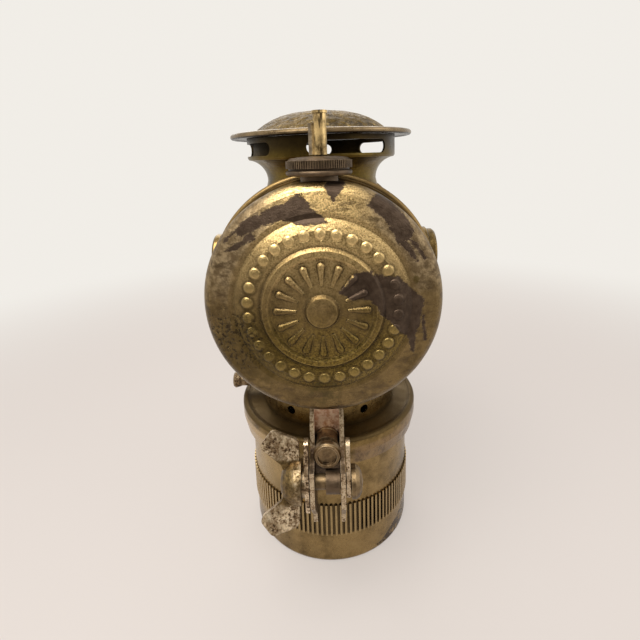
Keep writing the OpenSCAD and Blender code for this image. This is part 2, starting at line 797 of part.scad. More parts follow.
// Cup soldered on the house that holds a coloured glass
module jewel_bezel(s) {
    lip_r = jewel_r - 0.8;
    seat_r = jewel_r + 0.1;
    face = jewel_reach;
    color(brass)
        translate([0, 0, jewel_z]) rotate([0, s * 90, 0])
            difference() {
                rotate_extrude()
                    polygon([[lip_r, house_r - 8], [jewel_bezel_r, house_r - 8], [jewel_bezel_r, face - 3.4],
                        [jewel_bezel_r - 0.8, face - 2.6], [jewel_bezel_r - 0.8, face - 0.8],
                        [jewel_bezel_r - 1.4, face], [lip_r, face], [lip_r, face - 0.9], [seat_r, face - 0.9],
                        [seat_r, face - 3.2], [lip_r, face - 3.2]]);
                translate([s * jewel_rise, 2 * house_r, 0]) rotate([90, 0, 0]) cylinder(r = house_r, h = 4 * house_r);
            }
}

// Glass with a stepped crown
module jewel(s, tint) {
    back = jewel_reach - 3;
    color(tint)
        translate([0, 0, jewel_z]) rotate([0, s * 90, 0])
            rotate_extrude()
                polygon([[0, back], [jewel_r, back], [jewel_r, back + 1.9], [jewel_r - 1.2, back + 2],
                    [jewel_r * 0.56, back + 4], [0, back + 4.4]]);
}
module jewel_bezel_left() { jewel_bezel(-1); }
module jewel_bezel_right() { jewel_bezel(1); }
module jewel_left() { jewel(-1, [0.10, 0.45, 0.20, 0.7]); }
module jewel_right() { jewel(1, [0.60, 0.08, 0.06, 0.7]); }

// Channel with its web towards the lamp and two long flanges
module bracket_channel() {
    flange_end = bolt_back + 4;
    top_z = tank_low - 1.6;
    color(dark_brass)
        difference() {
            union() {
                translate([-channel_out, -web_back, web_low])
                    cube([2 * channel_out, channel_t, top_z - web_low]);
                translate([-channel_out, -web_back, top_z - channel_t])
                    cube([2 * channel_out, web_back + seam_y - 0.5, channel_t + 3]);
                for (s = [-1, 1])
                    translate([s * (channel_out - channel_t / 2) + channel_t / 2, 0, 0]) rotate([0, -90, 0])
                        linear_extrude(channel_t)
                            polygon([[top_z, -web_in], [feet_z, -web_in], [feet_z, -web_back - 2.2],
                                [feet_z + 4, -web_back - 3], [bolt_z - 7, -flange_end], [bolt_z + 6, -flange_end],
                                [stud_z, -web_back - 5], [top_z - 3.4, -web_back - 2], [top_z, -web_back - 0.5]]);
            }
            translate([0, 0, house_z]) rotate([90, 0, 0]) cylinder(r = tank_r, h = 2 * web_back);
            bolt_bore();
            translate([0, -web_in + cut, stud_z]) rotate([90, 0, 0]) cylinder(r = rivet_r, h = channel_t + 2 * cut);
        }
}

// Block that ties the web to the generator cap
module bracket_standoff() {
    wide = 2 * channel_out - 1.2;
    color(dark_brass)
        difference() {
            translate([-wide / 2, -web_in, skirt_z + 1]) cube([wide, 8, ledge_z - skirt_z - 2.5]);
            cylinder(r = cap_r, h = house_z);
        }
}

// Turned stud riveted in the web: flange, body, neck and cupped head
module bracket_stud() {
    neck = 0.56 * stud_len;
    color(brass)
        translate([0, -web_back, stud_z]) rotate([90, 0, 0])
            rotate_extrude()
                polygon([[0, -channel_t], [rivet_r, -channel_t], [rivet_r, 0], [stud_r + 0.2, 0], [stud_r + 0.2, 0.9],
                    [stud_r, 1], [stud_r, neck - 0.4], [2.6, neck], [2.6, neck + 1.4], [stud_head_r - 0.4, neck + 1.6],
                    [stud_head_r, neck + 2.1], [stud_head_r, stud_len - 0.5], [stud_head_r - 0.5, stud_len],
                    [stud_head_r - 1.3, stud_len], [stud_head_r - 1.5, stud_len - 0.9], [0, stud_len - 0.9]]);
}

// Running hole for the bolt through whatever it passes
module bolt_bore() { bolt_place() translate([0, 0, -20]) cylinder(r = bolt_r + run_fit, h = 40); }

module bolt_place() { translate([0, -bolt_back, bolt_z]) rotate([0, 90, 0]) children(); }

module clamp_bolt() {
    face = cheek_in + cheek_t + air;
    end = nut_face - 4;
    color(brass)
        bolt_place() {
            translate([0, 0, end]) cylinder(r = bolt_r, h = face - end);
            translate([0, 0, face])
                rotate_extrude()
                    polygon([[0, 0], [bolt_head_r, 0], [bolt_head_r, 1.4], [bolt_head_r - 0.7, 2.5],
                        [bolt_head_r - 2, 3.3], [0, 3.8]]);
        }
}

module bolt_spacer() {
    back = -0.6;
    spacer_len = channel_w / 2 - back - 0.2;
    color(steel)
        difference() {
            bolt_place() translate([0, 0, back]) cylinder(r = 3.7, h = spacer_len);
            bolt_bore();
        }
}

// Cheek outline as [height, distance behind], rounded at both ends
module cheek(x, low, high) {
    color(nickel)
        difference() {
            translate([x, 0, 0]) rotate([0, -90, 0])
                linear_extrude(cheek_t)
                    hull() {
                        translate([low + 3, -bolt_back]) circle(r = 3, $fn = 48);
                        translate([bolt_z, -bolt_back]) circle(r = 4.6, $fn = 48);
                        translate([high - 2.4, -bolt_back + 0.6]) circle(r = 2.4, $fn = 48);
                    }
            bolt_bore();
        }
}
module cheek_left() { cheek(-cheek_in, bolt_z - 11, bolt_z + 15); }
module cheek_right() { cheek(cheek_in + cheek_t, bolt_z - 5, bolt_z + 15); }

module nut_washer() {
    color(nickel)
        difference() {
            bolt_place() translate([0, 0, nut_face + 0.1]) cylinder(r = 4.6, h = washer_t - 0.1);
            bolt_bore();
        }
}

// Domed hub with two cast wings
module wing_nut() {
    hub_r = 6.8;
    hub_h = 7;
    color(nickel)
        difference() {
            union() {
                bolt_place()
                    translate([0, 0, nut_face]) rotate([0, 180, 0])
                        rotate_extrude() polygon(concat([[0, 0], [hub_r, 0]], arc(hub_r - 6, 1, 6, 0, 80, 6), [[0, hub_h]]));
                for (s = [-1, 1])
                    translate([nut_face, -bolt_back, bolt_z]) rotate([90 - wing_lean, 0, 0])
                        translate([0, 0, -wing_t / 2]) linear_extrude(wing_t) scale([1, s]) wing_outline();
            }
            bolt_bore();
            bolt_place() translate([0, 0, nut_face - 6]) cylinder(r = bolt_r + run_fit, h = 6 + cut);
        }
}

// One wing seen from behind: x along the bolt, y away from it
module wing_outline() {
    top = wing_reach;
    polygon(concat([[-0.8, 3], [-0.8, top - 6]], arc(-3.2, top - 4.6, 2.4, 0, 70, 4),
        arc(-9, top - 2, 2, 80, 130, 4), arc(-11.4, top - 4.6, 1.8, 140, 230, 5), [[-6.8, 5.6], [-5.6, 3]]));
}

carbide_cup();
carbide_basket();
cup_gasket();
generator_cap();
filter_felt();
filter_retainer();
water_tube();
air_gallery();
screw_boss();
cleaning_screw();
lamp_house();
house_rear_ring();
tank_front_shell();
tank_back_shell();
filler_neck();
filler_cap();
cap_washer();
valve_seat();
valve_spindle();
valve_lever();
chimney();
hood_brim();
hood_dome();
door_bezel();
lens();
lens_ring();
door_knuckle();
house_knuckles();
hinge_pin();
door_catch();
reflector();
burner_stem();
burner_tip();
jewel_bezel_left();
jewel_bezel_right();
jewel_left();
jewel_right();
bracket_channel();
bracket_standoff();
bracket_stud();
clamp_bolt();
bolt_spacer();
cheek_left();
cheek_right();
nut_washer();
wing_nut();
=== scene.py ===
"""Carbide bicycle headlamp, seen from the rear: finishes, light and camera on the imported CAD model."""
import math
import bpy
from mathutils import Matrix, Vector


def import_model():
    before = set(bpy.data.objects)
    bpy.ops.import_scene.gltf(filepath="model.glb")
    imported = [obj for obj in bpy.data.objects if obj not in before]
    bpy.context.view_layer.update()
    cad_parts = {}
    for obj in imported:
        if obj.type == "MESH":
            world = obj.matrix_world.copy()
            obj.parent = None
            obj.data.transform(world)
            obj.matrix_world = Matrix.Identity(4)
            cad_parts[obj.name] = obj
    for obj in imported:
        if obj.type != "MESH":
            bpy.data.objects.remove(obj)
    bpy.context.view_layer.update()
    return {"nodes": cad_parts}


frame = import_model()

MM = 0.001

# How a finish looks for corners and edges: samples, and the cosine at which an edge begins and is full.
CORNER_SAMPLES = 4
EDGE_TURN = (0.995, 0.90)

# Camera, in millimetres and degrees: behind the lamp, a little above it, looking slightly down.
CAMERA_PLACE = (3.4, -168.8, 155.5)
CAMERA_PITCH = 11.63
CAMERA_TURN = 1.69
CAMERA_ROLL = -1.86
CAMERA_LENS = 23.51
CAMERA_SENSOR = 36
CAMERA_SHIFT = -0.1195
CAMERA_RANGE = (0.005, 20)

# Room: pale paper under the lamp that fades into a pale backdrop.
FLOOR_SIZE = 6.0
FADE = (170, 520)
FLOOR_COLOUR = (0.61, 0.565, 0.54)
FIBRE_SHADE = 0.98
FLOOR_GLOW = (0.82, 0.745, 0.69)
FLOOR_GLOW_SHARE = 0.55
WALL_COLOUR = (0.88, 0.85, 0.80)
SHADE_COLOUR = (0.34, 0.31, 0.27)
SHADE_FROM = -0.15
SHADE_TO = -0.85
SEEN_SHADE = 0.35
ROOM_LIGHT = 0.42
ROOM_TINT = (1.0, 0.97, 0.93)

# Softboxes: place, aim, size in millimetres, power in watts, tint.
SOFTBOXES = {
    "key": ((-120, -210, 470), (0, 0, 110), 300, 2.3, (1.0, 0.97, 0.92)),
    "fill": ((420, -160, 300), (0, 0, 90), 360, 0.5, (1.0, 0.98, 0.96)),
    "front": ((-60, 420, 420), (0, 0, 90), 360, 1.0, (1, 1, 1)),
}

# Places on the lamp, in millimetres. A pair says where a share is 0 and where it is 1. A zone has two such pairs,
# for its beginning and its end.
HOUSE_MIDDLE = (0.0, 0.0, 111.6)
HUB_MIDDLE = (0.0, -51.5, 52.5)
RIB_ZONE = ((12.6, 13.1), (26.6, 26.2))
RIB_VALLEY = 33.55
RIB_FLANK = 33.80
RIB_CREST = 34.02
SKIRT_ZONE = ((45.0, 46.0), (53.5, 52.0))
LEDGE_ZONE = ((54.6, 55.2), (58.0, 56.0))
CHANNEL_SIDE = (4.15, 4.3)
CHANNEL_COPPER_FROM = (66.0, 74.0)
LIT_SIDE = (-6.0, -24.0)
ABOVE_FOOT = (6.0, 14.0)
CHIP_BEHIND = (-2.0, -9.0)
SKIRT_RIGHT = (11.0, 15.0)
SKIRT_BEHIND = (2.0, -10.0)
HOOD_LEFT = (-4.0, -26.0)
HUB_RADIUS = (8.6, 7.0)
LEVER_FLANGE = (-0.9, -1.7)
CHIMNEY_SOOT = (156.0, 163.0)
BURNER_SOOT = (113.0, 119.0)
REFLECTOR_SOOT = (128.0, 142.0)

# Where the finishes of the tank's back begin and are full: levels, distances from its upright middle line, radii.
# The gold is a painted highlight over the upper middle; the olive is a painted shade over the lower part.
GOLD_HIGHLIGHT_LEVEL = (118.0, 150.0)
GOLD_HIGHLIGHT_SPREAD = (30.0, 10.0)
OLIVE_SHADE_LEVEL = (130.0, 106.0)
OLIVE_SHADE_RADIUS = (28.5, 25.5)
MATT_LEVEL = (120.0, 134.0)
MATT_SPREAD = (13.0, 24.0)
MATT_RADIUS = (26.5, 30.0)
SMEAR_RADIUS = (27.0, 30.0)

# Round marks on the tank's back: x, z, radius.
STAIN_SPOT = (28.1, 119.5, 2.2)
GREEN_SPOT = (0.0, 83.3, 7.0)
# A darker spot at the lower left.
LOWER_LEFT_SPOT = (-24.0, 97.0, 22.0)
RASH_SPOT = (-27.0, 102.0, 20.0)

# Directions in which a distance is measured: in the plane of the tank's back, across the bolt, round the cup.
FACE_ON = (1, 0, 1)
SIDE_ON = (0, 1, 1)
FROM_ABOVE = (1, 1, 0)

# Ring of studs on the tank's back: its radius, the angle from stud to stud, and a rim of painted shade round each
# stud.
STUD_RING = 22.35
STUD_STEP = math.radians(12)
STUD_TOP = (1.9, 1.4)
STUD_RIM = ((1.7, 2.0), (3.0, 2.1))

# Dark bare patches and streaks on the rear of the tank, corners as (x, z), clockwise as seen from behind.
TANK_PATCHES = (
    ((-26.4, 130.9), (-24.7, 135.5), (-21.6, 138.9), (-16.6, 140.3), (-11.9, 138.3), (-18.8, 135.4), (-22.6, 132.4)),
    ((-17.5, 140.2), (-9.7, 143.5), (-11.0, 138.0), (-16.5, 136.5)),
    ((-11.8, 142.2), (-9.7, 143.5), (-6.5, 145.9), (-3.3, 143.0), (-1.4, 140.3), (-5.5, 137.0), (-12.5, 138.0)),
    ((-4.5, 143.5), (0.3, 139.4), (3.9, 137.1), (-4.1, 136.2), (-7.3, 137.4)),
    ((2.4, 149.2), (8.3, 148.8), (4.0, 142.5), (1.6, 146.3)),
    ((14.0, 141.7), (16.9, 144.8), (20.8, 143.1), (23.7, 139.7), (25.5, 135.0), (22.3, 133.4)),
    ((22.9, 140.3), (28.8, 132.7), (25.9, 131.5), (23.4, 129.1), (20.1, 135.0)),
    ((4.6, 117.2), (10.1, 122.7), (14.7, 123.1), (16.9, 114.5), (8.7, 114.7)),
    ((11.8, 122.9), (22.6, 120.6), (24.4, 113.5), (22.0, 106.8), (18.9, 107.8), (14.6, 114.5)),
    ((20.5, 120.5), (22.6, 120.6), (30.5, 113.1), (29.1, 104.6), (26.5, 100.2), (19.9, 107.0)),
    ((-28.6, 128.9), (-20.5, 134.5), (-19.0, 133.0), (-26.0, 129.0)),
    ((-29.0, 132.6), (-21.0, 138.4), (-21.4, 137.0), (-28.4, 131.6)),
    ((22.0, 131.6), (24.6, 131.4), (29.2, 124.6), (28.2, 124.2)),
    ((26.4, 131.0), (28.4, 130.2), (31.4, 125.0), (30.4, 124.8)),
    ((25.4, 104.4), (28.6, 104.0), (27.6, 96.0), (26.6, 96.4)),
    ((29.6, 108.0), (30.8, 108.0), (31.6, 99.0), (30.8, 99.2)),
)
CUP_CHIP = ((13.0, -1.0), (34.5, 11.0), (34.5, -1.0))

# Metals that several finishes share, as linear colours.
GOLD = (0.36, 0.245, 0.098)
BRASS = (0.150, 0.096, 0.038)
OLIVE = (0.066, 0.042, 0.016)
# DIRT_AND_SHADE: near black, for real dirt, soot and pits, and for painted shade in corners and under the brim.
DIRT_AND_SHADE = (0.016, 0.010, 0.006)
TARNISH = (0.040, 0.026, 0.017)
NICKEL = (0.245, 0.19, 0.122)
CREAM = (0.56, 0.46, 0.33)
STEEL = (0.17, 0.15, 0.13)

# Light, middle and dark tone of each worn metal.
TANK_TONES = ((0.34, 0.235, 0.10), (0.215, 0.145, 0.060), (0.095, 0.062, 0.026))
HOOD_TONES = ((0.23, 0.155, 0.050), (0.140, 0.091, 0.028), (0.068, 0.044, 0.013))
CHIMNEY_TONES = ((0.27, 0.188, 0.040), (0.165, 0.108, 0.018), (0.065, 0.041, 0.006))
BRIM_TONES = (NICKEL, (0.28, 0.20, 0.11), OLIVE)
CUP_TONES = ((0.50, 0.36, 0.165), (0.31, 0.21, 0.088), (0.12, 0.079, 0.030))
CAP_TONES = ((0.50, 0.355, 0.15), (0.225, 0.148, 0.052), (0.085, 0.056, 0.020))
CHANNEL_TONES = ((0.34, 0.25, 0.15), (0.17, 0.115, 0.065), TARNISH)
CHEEK_TONES = (CREAM, (0.80, 0.64, 0.44), BRASS)
PLATE_TONES = (CREAM, (0.36, 0.29, 0.19), BRASS)
WING_TONES = ((0.98, 0.86, 0.66), (0.84, 0.68, 0.46), BRASS)
LEVER_TONES = ((0.98, 0.76, 0.38), (0.78, 0.56, 0.25), BRASS)
HOUSE_TONES = ((0.42, 0.29, 0.12), (0.27, 0.178, 0.070), (0.135, 0.088, 0.034))
DARK_TONES = ((0.26, 0.185, 0.11), (0.13, 0.088, 0.054), (0.050, 0.034, 0.020))
BOLT_TONES = ((0.40, 0.29, 0.15), (0.24, 0.165, 0.085), (0.095, 0.063, 0.033))
BRIGHT_TONES = (GOLD, (0.38, 0.25, 0.10), BRASS)
STUD_TONES = ((0.50, 0.36, 0.20), (0.24, 0.16, 0.080), (0.07, 0.046, 0.024))
STEEL_TONES = ((0.34, 0.32, 0.29), STEEL, (0.12, 0.10, 0.085))

# The tank's tones, as a dark and a light one where a pattern goes between them. Some are painted light and shade, as
# marked.
# Painted highlight: the gold of the upper middle.
TANK_GOLD_HIGHLIGHT = ((0.34, 0.23, 0.085), (0.84, 0.60, 0.27))
TANK_MATT = ((0.15, 0.102, 0.054), (0.36, 0.27, 0.155))
# Painted shade: the olive of the lower part.
TANK_OLIVE_SHADE = ((0.060, 0.038, 0.006), (0.25, 0.17, 0.036))
# Painted highlight on the sharp crests.
TANK_CREST_HIGHLIGHT = (0.62, 0.45, 0.19)
TANK_SMEAR = (0.085, 0.056, 0.028)
TANK_STAIN = (0.075, 0.050, 0.008)
TANK_GREEN = (0.045, 0.040, 0.013)
# Tone of the darker spot at the lower left.
TANK_LOWER_LEFT_DARK = (0.070, 0.046, 0.010)
BARE_SHEET = ((0.058, 0.038, 0.025), (0.105, 0.072, 0.049))
# Stud tops: rubbed, with a painted highlight that is brighter in the gold.
STUD_TOPS = ((0.38, 0.27, 0.093), (0.95, 0.70, 0.33))
# Painted shade round the foot of each stud.
STUD_RIM_SHADE = (0.036, 0.023, 0.007)

# Tones of single marks on the other metals. Those for lit sides, rib crests, rib valleys, the hood's left and the
# cap's ledge are painted light and shade.
HOOD_DENT = (0.045, 0.029, 0.012)
HOOD_VEIN = (0.40, 0.285, 0.12)
HOOD_SHADE = (0.085, 0.056, 0.022)
CUP_LIT = (0.54, 0.40, 0.20)
RIB_CREST_HIGHLIGHT = (0.46, 0.34, 0.17)
RIB_VALLEY_SHADE = (0.06, 0.04, 0.018)
CHIP_TONE = (0.060, 0.038, 0.019)
SKIRT_LIT = (0.68, 0.51, 0.29)
SKIRT_PINK = (0.40, 0.27, 0.18)
SKIRT_MARK = (0.07, 0.047, 0.028)
LEDGE_SHADE = (0.095, 0.062, 0.025)
CHANNEL_COPPER = ((0.62, 0.33, 0.20), (0.92, 0.70, 0.50))
CHANNEL_EDGE = (0.56, 0.45, 0.30)
PLATE_RIM = (0.26, 0.17, 0.09)
PLATE_PIT = (0.060, 0.036, 0.020)
HUB_GOLD = ((0.09, 0.058, 0.023), (0.24, 0.160, 0.062))
HUB_GRAIN = (0.05, 0.033, 0.018)
LEVER_RUN = (0.055, 0.036, 0.016)
LEVER_GREY = ((0.26, 0.205, 0.14), (0.52, 0.43, 0.31))

# Tones of what isn't brass.
RUBBER = (0.035, 0.032, 0.03)
FELT = (0.42, 0.38, 0.31)
CLOTH_DUST = (0.30, 0.27, 0.22)
STEATITE = ((0.62, 0.56, 0.46), (0.80, 0.76, 0.68))
STEATITE_SOOT = (0.09, 0.08, 0.07)
GLASS_DUST = (0.6, 0.58, 0.5)
GLASS_CLEAR = (0.96, 0.97, 0.95)
GLASS_GREEN = (0.05, 0.42, 0.16)
GLASS_RED = (0.62, 0.03, 0.02)
MIRROR = ((0.74, 0.71, 0.66), (0.50, 0.45, 0.36))
MIRROR_SOOT = (0.06, 0.05, 0.04)

# Worn metals with nothing of their own: material's name, tones, roughness, and what differs from the build-up.
PLAIN_METALS = {
    "house": ("house_metal", HOUSE_TONES, 0.42, dict(blots=16.0)),
    "dark": ("dark_metal", DARK_TONES, 0.48, dict(blots=5.0, reach=0.9, wear=(0.24, 0.17, 0.10))),
    "bolt": ("bolt_metal", BOLT_TONES, 0.42, dict(blots=4.0, reach=1.2, wear=(0.50, 0.38, 0.22))),
    "bright": ("bright_metal", BRIGHT_TONES, 0.34, dict(blots=6.0)),
    "stud": ("stud_metal", STUD_TONES, 0.36, dict(blots=3.0, reach=0.9, wear=(0.70, 0.54, 0.34))),
    "steel": ("inner_steel", STEEL_TONES, 0.5, dict(wear=NICKEL)),
}

# The finish of every CAD node.
NODE_FINISH = {
    "carbide_cup": "cup",
    "carbide_basket": "steel",
    "cup_gasket": "rubber",
    "generator_cap": "cap",
    "filter_felt": "felt",
    "filter_retainer": "steel",
    "water_tube": "dark",
    "air_gallery": "cap",
    "screw_boss": "cap",
    "cleaning_screw": "plate",
    "lamp_house": "house",
    "house_rear_ring": "house",
    "tank_front_shell": "house",
    "tank_back_shell": "tank",
    "filler_neck": "dark",
    "filler_cap": "dark",
    "cap_washer": "rubber",
    "valve_seat": "bright",
    "valve_spindle": "bright",
    "valve_lever": "lever",
    "chimney": "chimney",
    "hood_brim": "brim",
    "hood_dome": "hood",
    "door_bezel": "house",
    "lens": "clear",
    "lens_ring": "steel",
    "door_knuckle": "cap",
    "house_knuckles": "cap",
    "hinge_pin": "bright",
    "door_catch": "plate",
    "reflector": "reflector",
    "burner_stem": "bright",
    "burner_tip": "ceramic",
    "jewel_bezel_left": "cap",
    "jewel_bezel_right": "cap",
    "jewel_left": "green",
    "jewel_right": "red",
    "bracket_channel": "channel",
    "bracket_standoff": "cap",
    "bracket_stud": "stud",
    "clamp_bolt": "bolt",
    "bolt_spacer": "dark",
    "cheek_left": "cheek",
    "cheek_right": "cheek",
    "nut_washer": "plate",
    "wing_nut": "wing",
}


class Paint:
    """One material's nodes. Lengths are in millimetres of the lamp at rest."""

    def __init__(self, name):
        self.material = bpy.data.materials.new(name)
        self.material.use_nodes = True
        self.tree = self.material.node_tree
        self.tree.nodes.clear()
        place = self.add("ShaderNodeTexCoord").outputs["Object"]
        self.place = self.vector("SCALE", place, scale=1 / MM)
        self.axes = self.add("ShaderNodeSeparateXYZ", self.place).outputs

    def add(self, kind, *values, **settings):
        """A node of this kind, with its settings and its first inputs given."""
        node = self.tree.nodes.new(kind)
        for key, value in settings.items():
            setattr(node, key, value)
        for socket, value in zip(node.inputs, values):
            self.put(socket, value)
        return node

    def put(self, socket, value):
        """Links a socket to an input, or sets its value."""
        if value is None:
            return
        if isinstance(value, bpy.types.NodeSocket):
            self.tree.links.new(value, socket)
            return
        if socket.type == "RGBA" and len(value) == 3:
            value = (*value, 1)
        socket.default_value = value

    def put_all(self, node, **given):
        """Sets inputs by their names, in which a space is written as an underscore."""
        for name, value in given.items():
            self.put(node.inputs[name.replace("_", " ")], value)

    def vector(self, operation, a, b=None, scale=None):
        node = self.add("ShaderNodeVectorMath", a, b, operation=operation)
        if scale is not None:
            node.inputs["Scale"].default_value = scale
        return node.outputs["Vector"]

    def dot(self, a, b):
        return self.add("ShaderNodeVectorMath", a, b, operation="DOT_PRODUCT").outputs["Value"]

    def length(self, way):
        return self.add("ShaderNodeVectorMath", way, operation="LENGTH").outputs["Value"]

    def calc(self, operation, a, b=None, c=None):
        return self.add("ShaderNodeMath", a, b, c, operation=operation).outputs[0]

    def times(self, a, b):
        return self.calc("MULTIPLY", a, b)

    def wavy(self, value, cloud, reach):
        """A value that a cloud pushes up by as much as reach."""
        return self.calc("MULTIPLY_ADD", cloud, reach, value)

    def rest(self, share):
        """What a share leaves of 1."""
        return self.calc("SUBTRACT", 1.0, share)

    def far(self, along, middle=None):
        """Distance from a middle, measured along some of the axes only."""
        off = self.place if middle is None else self.vector("SUBTRACT", self.place, middle)
        return self.length(self.vector("MULTIPLY", off, along))

    def facing(self, axis):
        """How far the surface faces along this axis, from -1 to 1."""
        normal = self.add("ShaderNodeNewGeometry").outputs["Normal"]
        return self.add("ShaderNodeSeparateXYZ", normal).outputs[axis]

    def band(self, value, low, high, start=0.0, end=1.0):
        """Goes smoothly from start to end as value goes from low to high."""
        node = self.add("ShaderNodeMapRange", interpolation_type="SMOOTHSTEP")
        self.put_all(node, Value=value, From_Min=low, From_Max=high, To_Min=start, To_Max=end)
        return node.outputs["Result"]

    def within(self, value, zone):
        """1 inside a zone, which is given by where it begins and where it ends."""
        start, end = zone
        return self.times(self.band(value, *start), self.band(value, *end))

    def noise(self, size, detail=3.0, rough=0.5, stretch=(1, 1, 1), shift=0.0):
        """Cloudy noise from 0 to 1 whose blots are about size across."""
        place = self.vector("MULTIPLY", self.place, stretch)
        place = self.vector("ADD", place, (shift, shift, shift))
        node = self.add("ShaderNodeTexNoise")
        self.put_all(node, Vector=place, Scale=1 / size, Detail=detail, Roughness=rough)
        return node.outputs[0]

    def cells(self, size):
        """Distance inside cells of about this size, 0 at their middles."""
        node = self.add("ShaderNodeTexVoronoi", feature="F1")
        self.put_all(node, Vector=self.place, Scale=1 / size, Randomness=1.0)
        return node.outputs["Distance"]

    def mix(self, share, a, b):
        node = self.add("ShaderNodeMix", data_type="RGBA", blend_type="MIX", clamp_factor=True)
        self.put(node.inputs[0], share)
        self.put(node.inputs[6], a)
        self.put(node.inputs[7], b)
        return node.outputs[2]

    def hollow(self, reach):
        """1 on open surfaces, towards 0 in corners closer than reach."""
        node = self.add("ShaderNodeAmbientOcclusion", samples=CORNER_SAMPLES)
        node.inputs["Distance"].default_value = reach * MM
        return node.outputs["AO"]

    def edge(self, radius):
        """1 on sharp outer or inner edges within this radius, 0 on flats."""
        bevel = self.add("ShaderNodeBevel", samples=CORNER_SAMPLES)
        bevel.inputs["Radius"].default_value = radius * MM
        flat = self.add("ShaderNodeNewGeometry").outputs["Normal"]
        turn = self.dot(bevel.outputs["Normal"], flat)
        return self.band(turn, *EDGE_TURN)

    def bump(self, height, depth, below=None):
        """Bump whose full height is depth."""
        node = self.add("ShaderNodeBump")
        self.put_all(node, Strength=1.0, Distance=depth * MM, Height=height, Normal=below)
        return node.outputs["Normal"]

    def patch(self, corners):
        """1 inside a convex patch with torn edges, given by (x, z) corners in clockwise order as seen from behind."""
        ragged = 2.6
        soft = 0.12
        torn = self.noise(2.6, detail=9.0, rough=0.85, stretch=(0.6, 1.0, 1.0))
        wander = self.calc("MULTIPLY_ADD", torn, 2 * ragged, -ragged)
        inside = None
        for (x0, z0), (x1, z1) in zip(corners, corners[1:] + corners[:1]):
            length = math.hypot(x1 - x0, z1 - z0)
            way = ((z1 - z0) / length, 0, -(x1 - x0) / length)
            far = self.calc("SUBTRACT", self.dot(self.place, way), way[0] * x0 + way[2] * z0)
            inside = far if inside is None else self.calc("MINIMUM", inside, far)
        return self.band(self.calc("ADD", inside, wander), -soft, soft)

    def spot(self, x, z, radius, ragged=0.5):
        """1 near a point of the rear face, fading out at radius."""
        far = self.far(FACE_ON, (x, 0, z))
        wander = self.times(self.noise(2.0, detail=4.0), ragged * radius)
        return self.band(self.calc("ADD", far, wander), radius * 1.15, radius * 0.75)

    def metal(self, colour, rough, normal, metallic=0.9):
        """Shows a plain surface with this colour, roughness and relief."""
        shader = self.add("ShaderNodeBsdfPrincipled")
        self.put_all(shader, Metallic=metallic, Base_Color=colour, Roughness=rough, Normal=normal)
        self.show(shader)

    def show(self, shader):
        out = self.add("ShaderNodeOutputMaterial")
        self.tree.links.new(shader.outputs[0], out.inputs["Surface"])


class OldMetal(Paint):
    """Old sheet metal: blotches, haze, grain, pits, painted shade in corners and rubbed edges."""

    def __init__(self, name, tones, blots=14.0, reach=3.0, wear=GOLD, bright=0.45):
        super().__init__(name)
        light, middle, dark = tones
        self.cloud = self.noise(blots, detail=9.0, rough=0.66)
        self.haze = self.noise(blots * 0.4, detail=7.0, rough=0.7, shift=37.0)
        self.grain = self.noise(0.8, detail=5.0, rough=0.75, shift=11.0)
        self.colour = self.mix(self.band(self.cloud, 0.30, 0.62), dark, middle)
        self.over(self.band(self.haze, 0.46, 0.80, end=bright), light)
        self.over(self.band(self.grain, 0.55, 0.72, end=0.6), dark)
        self.holes = self.pits()
        self.over(self.holes, DIRT_AND_SHADE)
        # Painted shade: darkens corners and hollows closer than reach.
        self.over(self.band(self.hollow(reach), 0.80, 0.30), DIRT_AND_SHADE)
        self.over(self.rubbed(), wear)

    def over(self, share, colour):
        """Lays a colour over what is there, by this share."""
        self.colour = self.mix(share, self.colour, colour)

    def pits(self):
        """1 in small pits, which come in groups."""
        rare = self.noise(9.0, detail=3.0, shift=71.0)
        return self.times(self.band(self.cells(1.7), 0.20, 0.08), self.band(rare, 0.52, 0.64, end=0.5))

    def rubbed(self):
        """Share of bare metal along outer edges."""
        open_edge = self.times(self.edge(0.35), self.band(self.hollow(0.8), 0.60, 0.85))
        return self.times(open_edge, self.band(self.haze, 0.30, 0.60, end=0.85))

    def lit_side(self, most=1.0):
        """Goes up to most on the left of the lamp, where the photograph's light falls."""
        return self.band(self.wavy(self.axes["X"], self.haze, 10.0), *LIT_SIDE, end=most)

    def relief(self, holes=None, skin=0.10):
        """Shallow dents, fine grain and pits as one bump."""
        low = self.bump(self.noise(11.0, detail=2.0, rough=0.4, shift=5.0), 0.25)
        rough = self.calc("MULTIPLY_ADD", self.haze, 0.5, self.times(self.grain, 0.5))
        rough = self.calc("SUBTRACT", rough, self.holes if holes is None else holes)
        return self.bump(rough, skin, low)

    def sheen(self, low, high):
        """Roughness that goes with the haze."""
        return self.band(self.haze, 0.25, 0.75, low, high)

    def finish(self, rough, relief=None, metallic=0.9):
        """Shows the metal, and gives its material."""
        self.metal(self.colour, rough, self.relief() if relief is None else relief, metallic)
        return self.material


def plain_metal(name, tones, rough, more):
    """A finish with nothing of its own beyond the shared build-up."""
    paint = OldMetal(name, tones, **more)
    return paint.finish(paint.sheen(rough - 0.10, rough + 0.14))


def tank_zones(paint, radius):
    """Shares of gold, beige and olive over the tank's rear: the gold is a painted highlight, the olive a painted
    shade.
    """
    wander = paint.noise(7.0, detail=6.0, rough=0.65, shift=3.0)
    height = paint.wavy(paint.axes["Z"], wander, 20.0)
    middle = paint.band(paint.calc("ABSOLUTE", paint.axes["X"]), *GOLD_HIGHLIGHT_SPREAD, 0.35, 1.0)
    gold = paint.times(paint.band(height, *GOLD_HIGHLIGHT_LEVEL), middle)
    olive_shade = paint.band(height, *OLIVE_SHADE_LEVEL)
    side = paint.wavy(paint.calc("ABSOLUTE", paint.axes["X"]), wander, 10.0)
    beige = paint.times(paint.band(side, *MATT_SPREAD), paint.band(radius, *MATT_RADIUS))
    return gold, paint.times(beige, paint.band(height, *MATT_LEVEL)), olive_shade


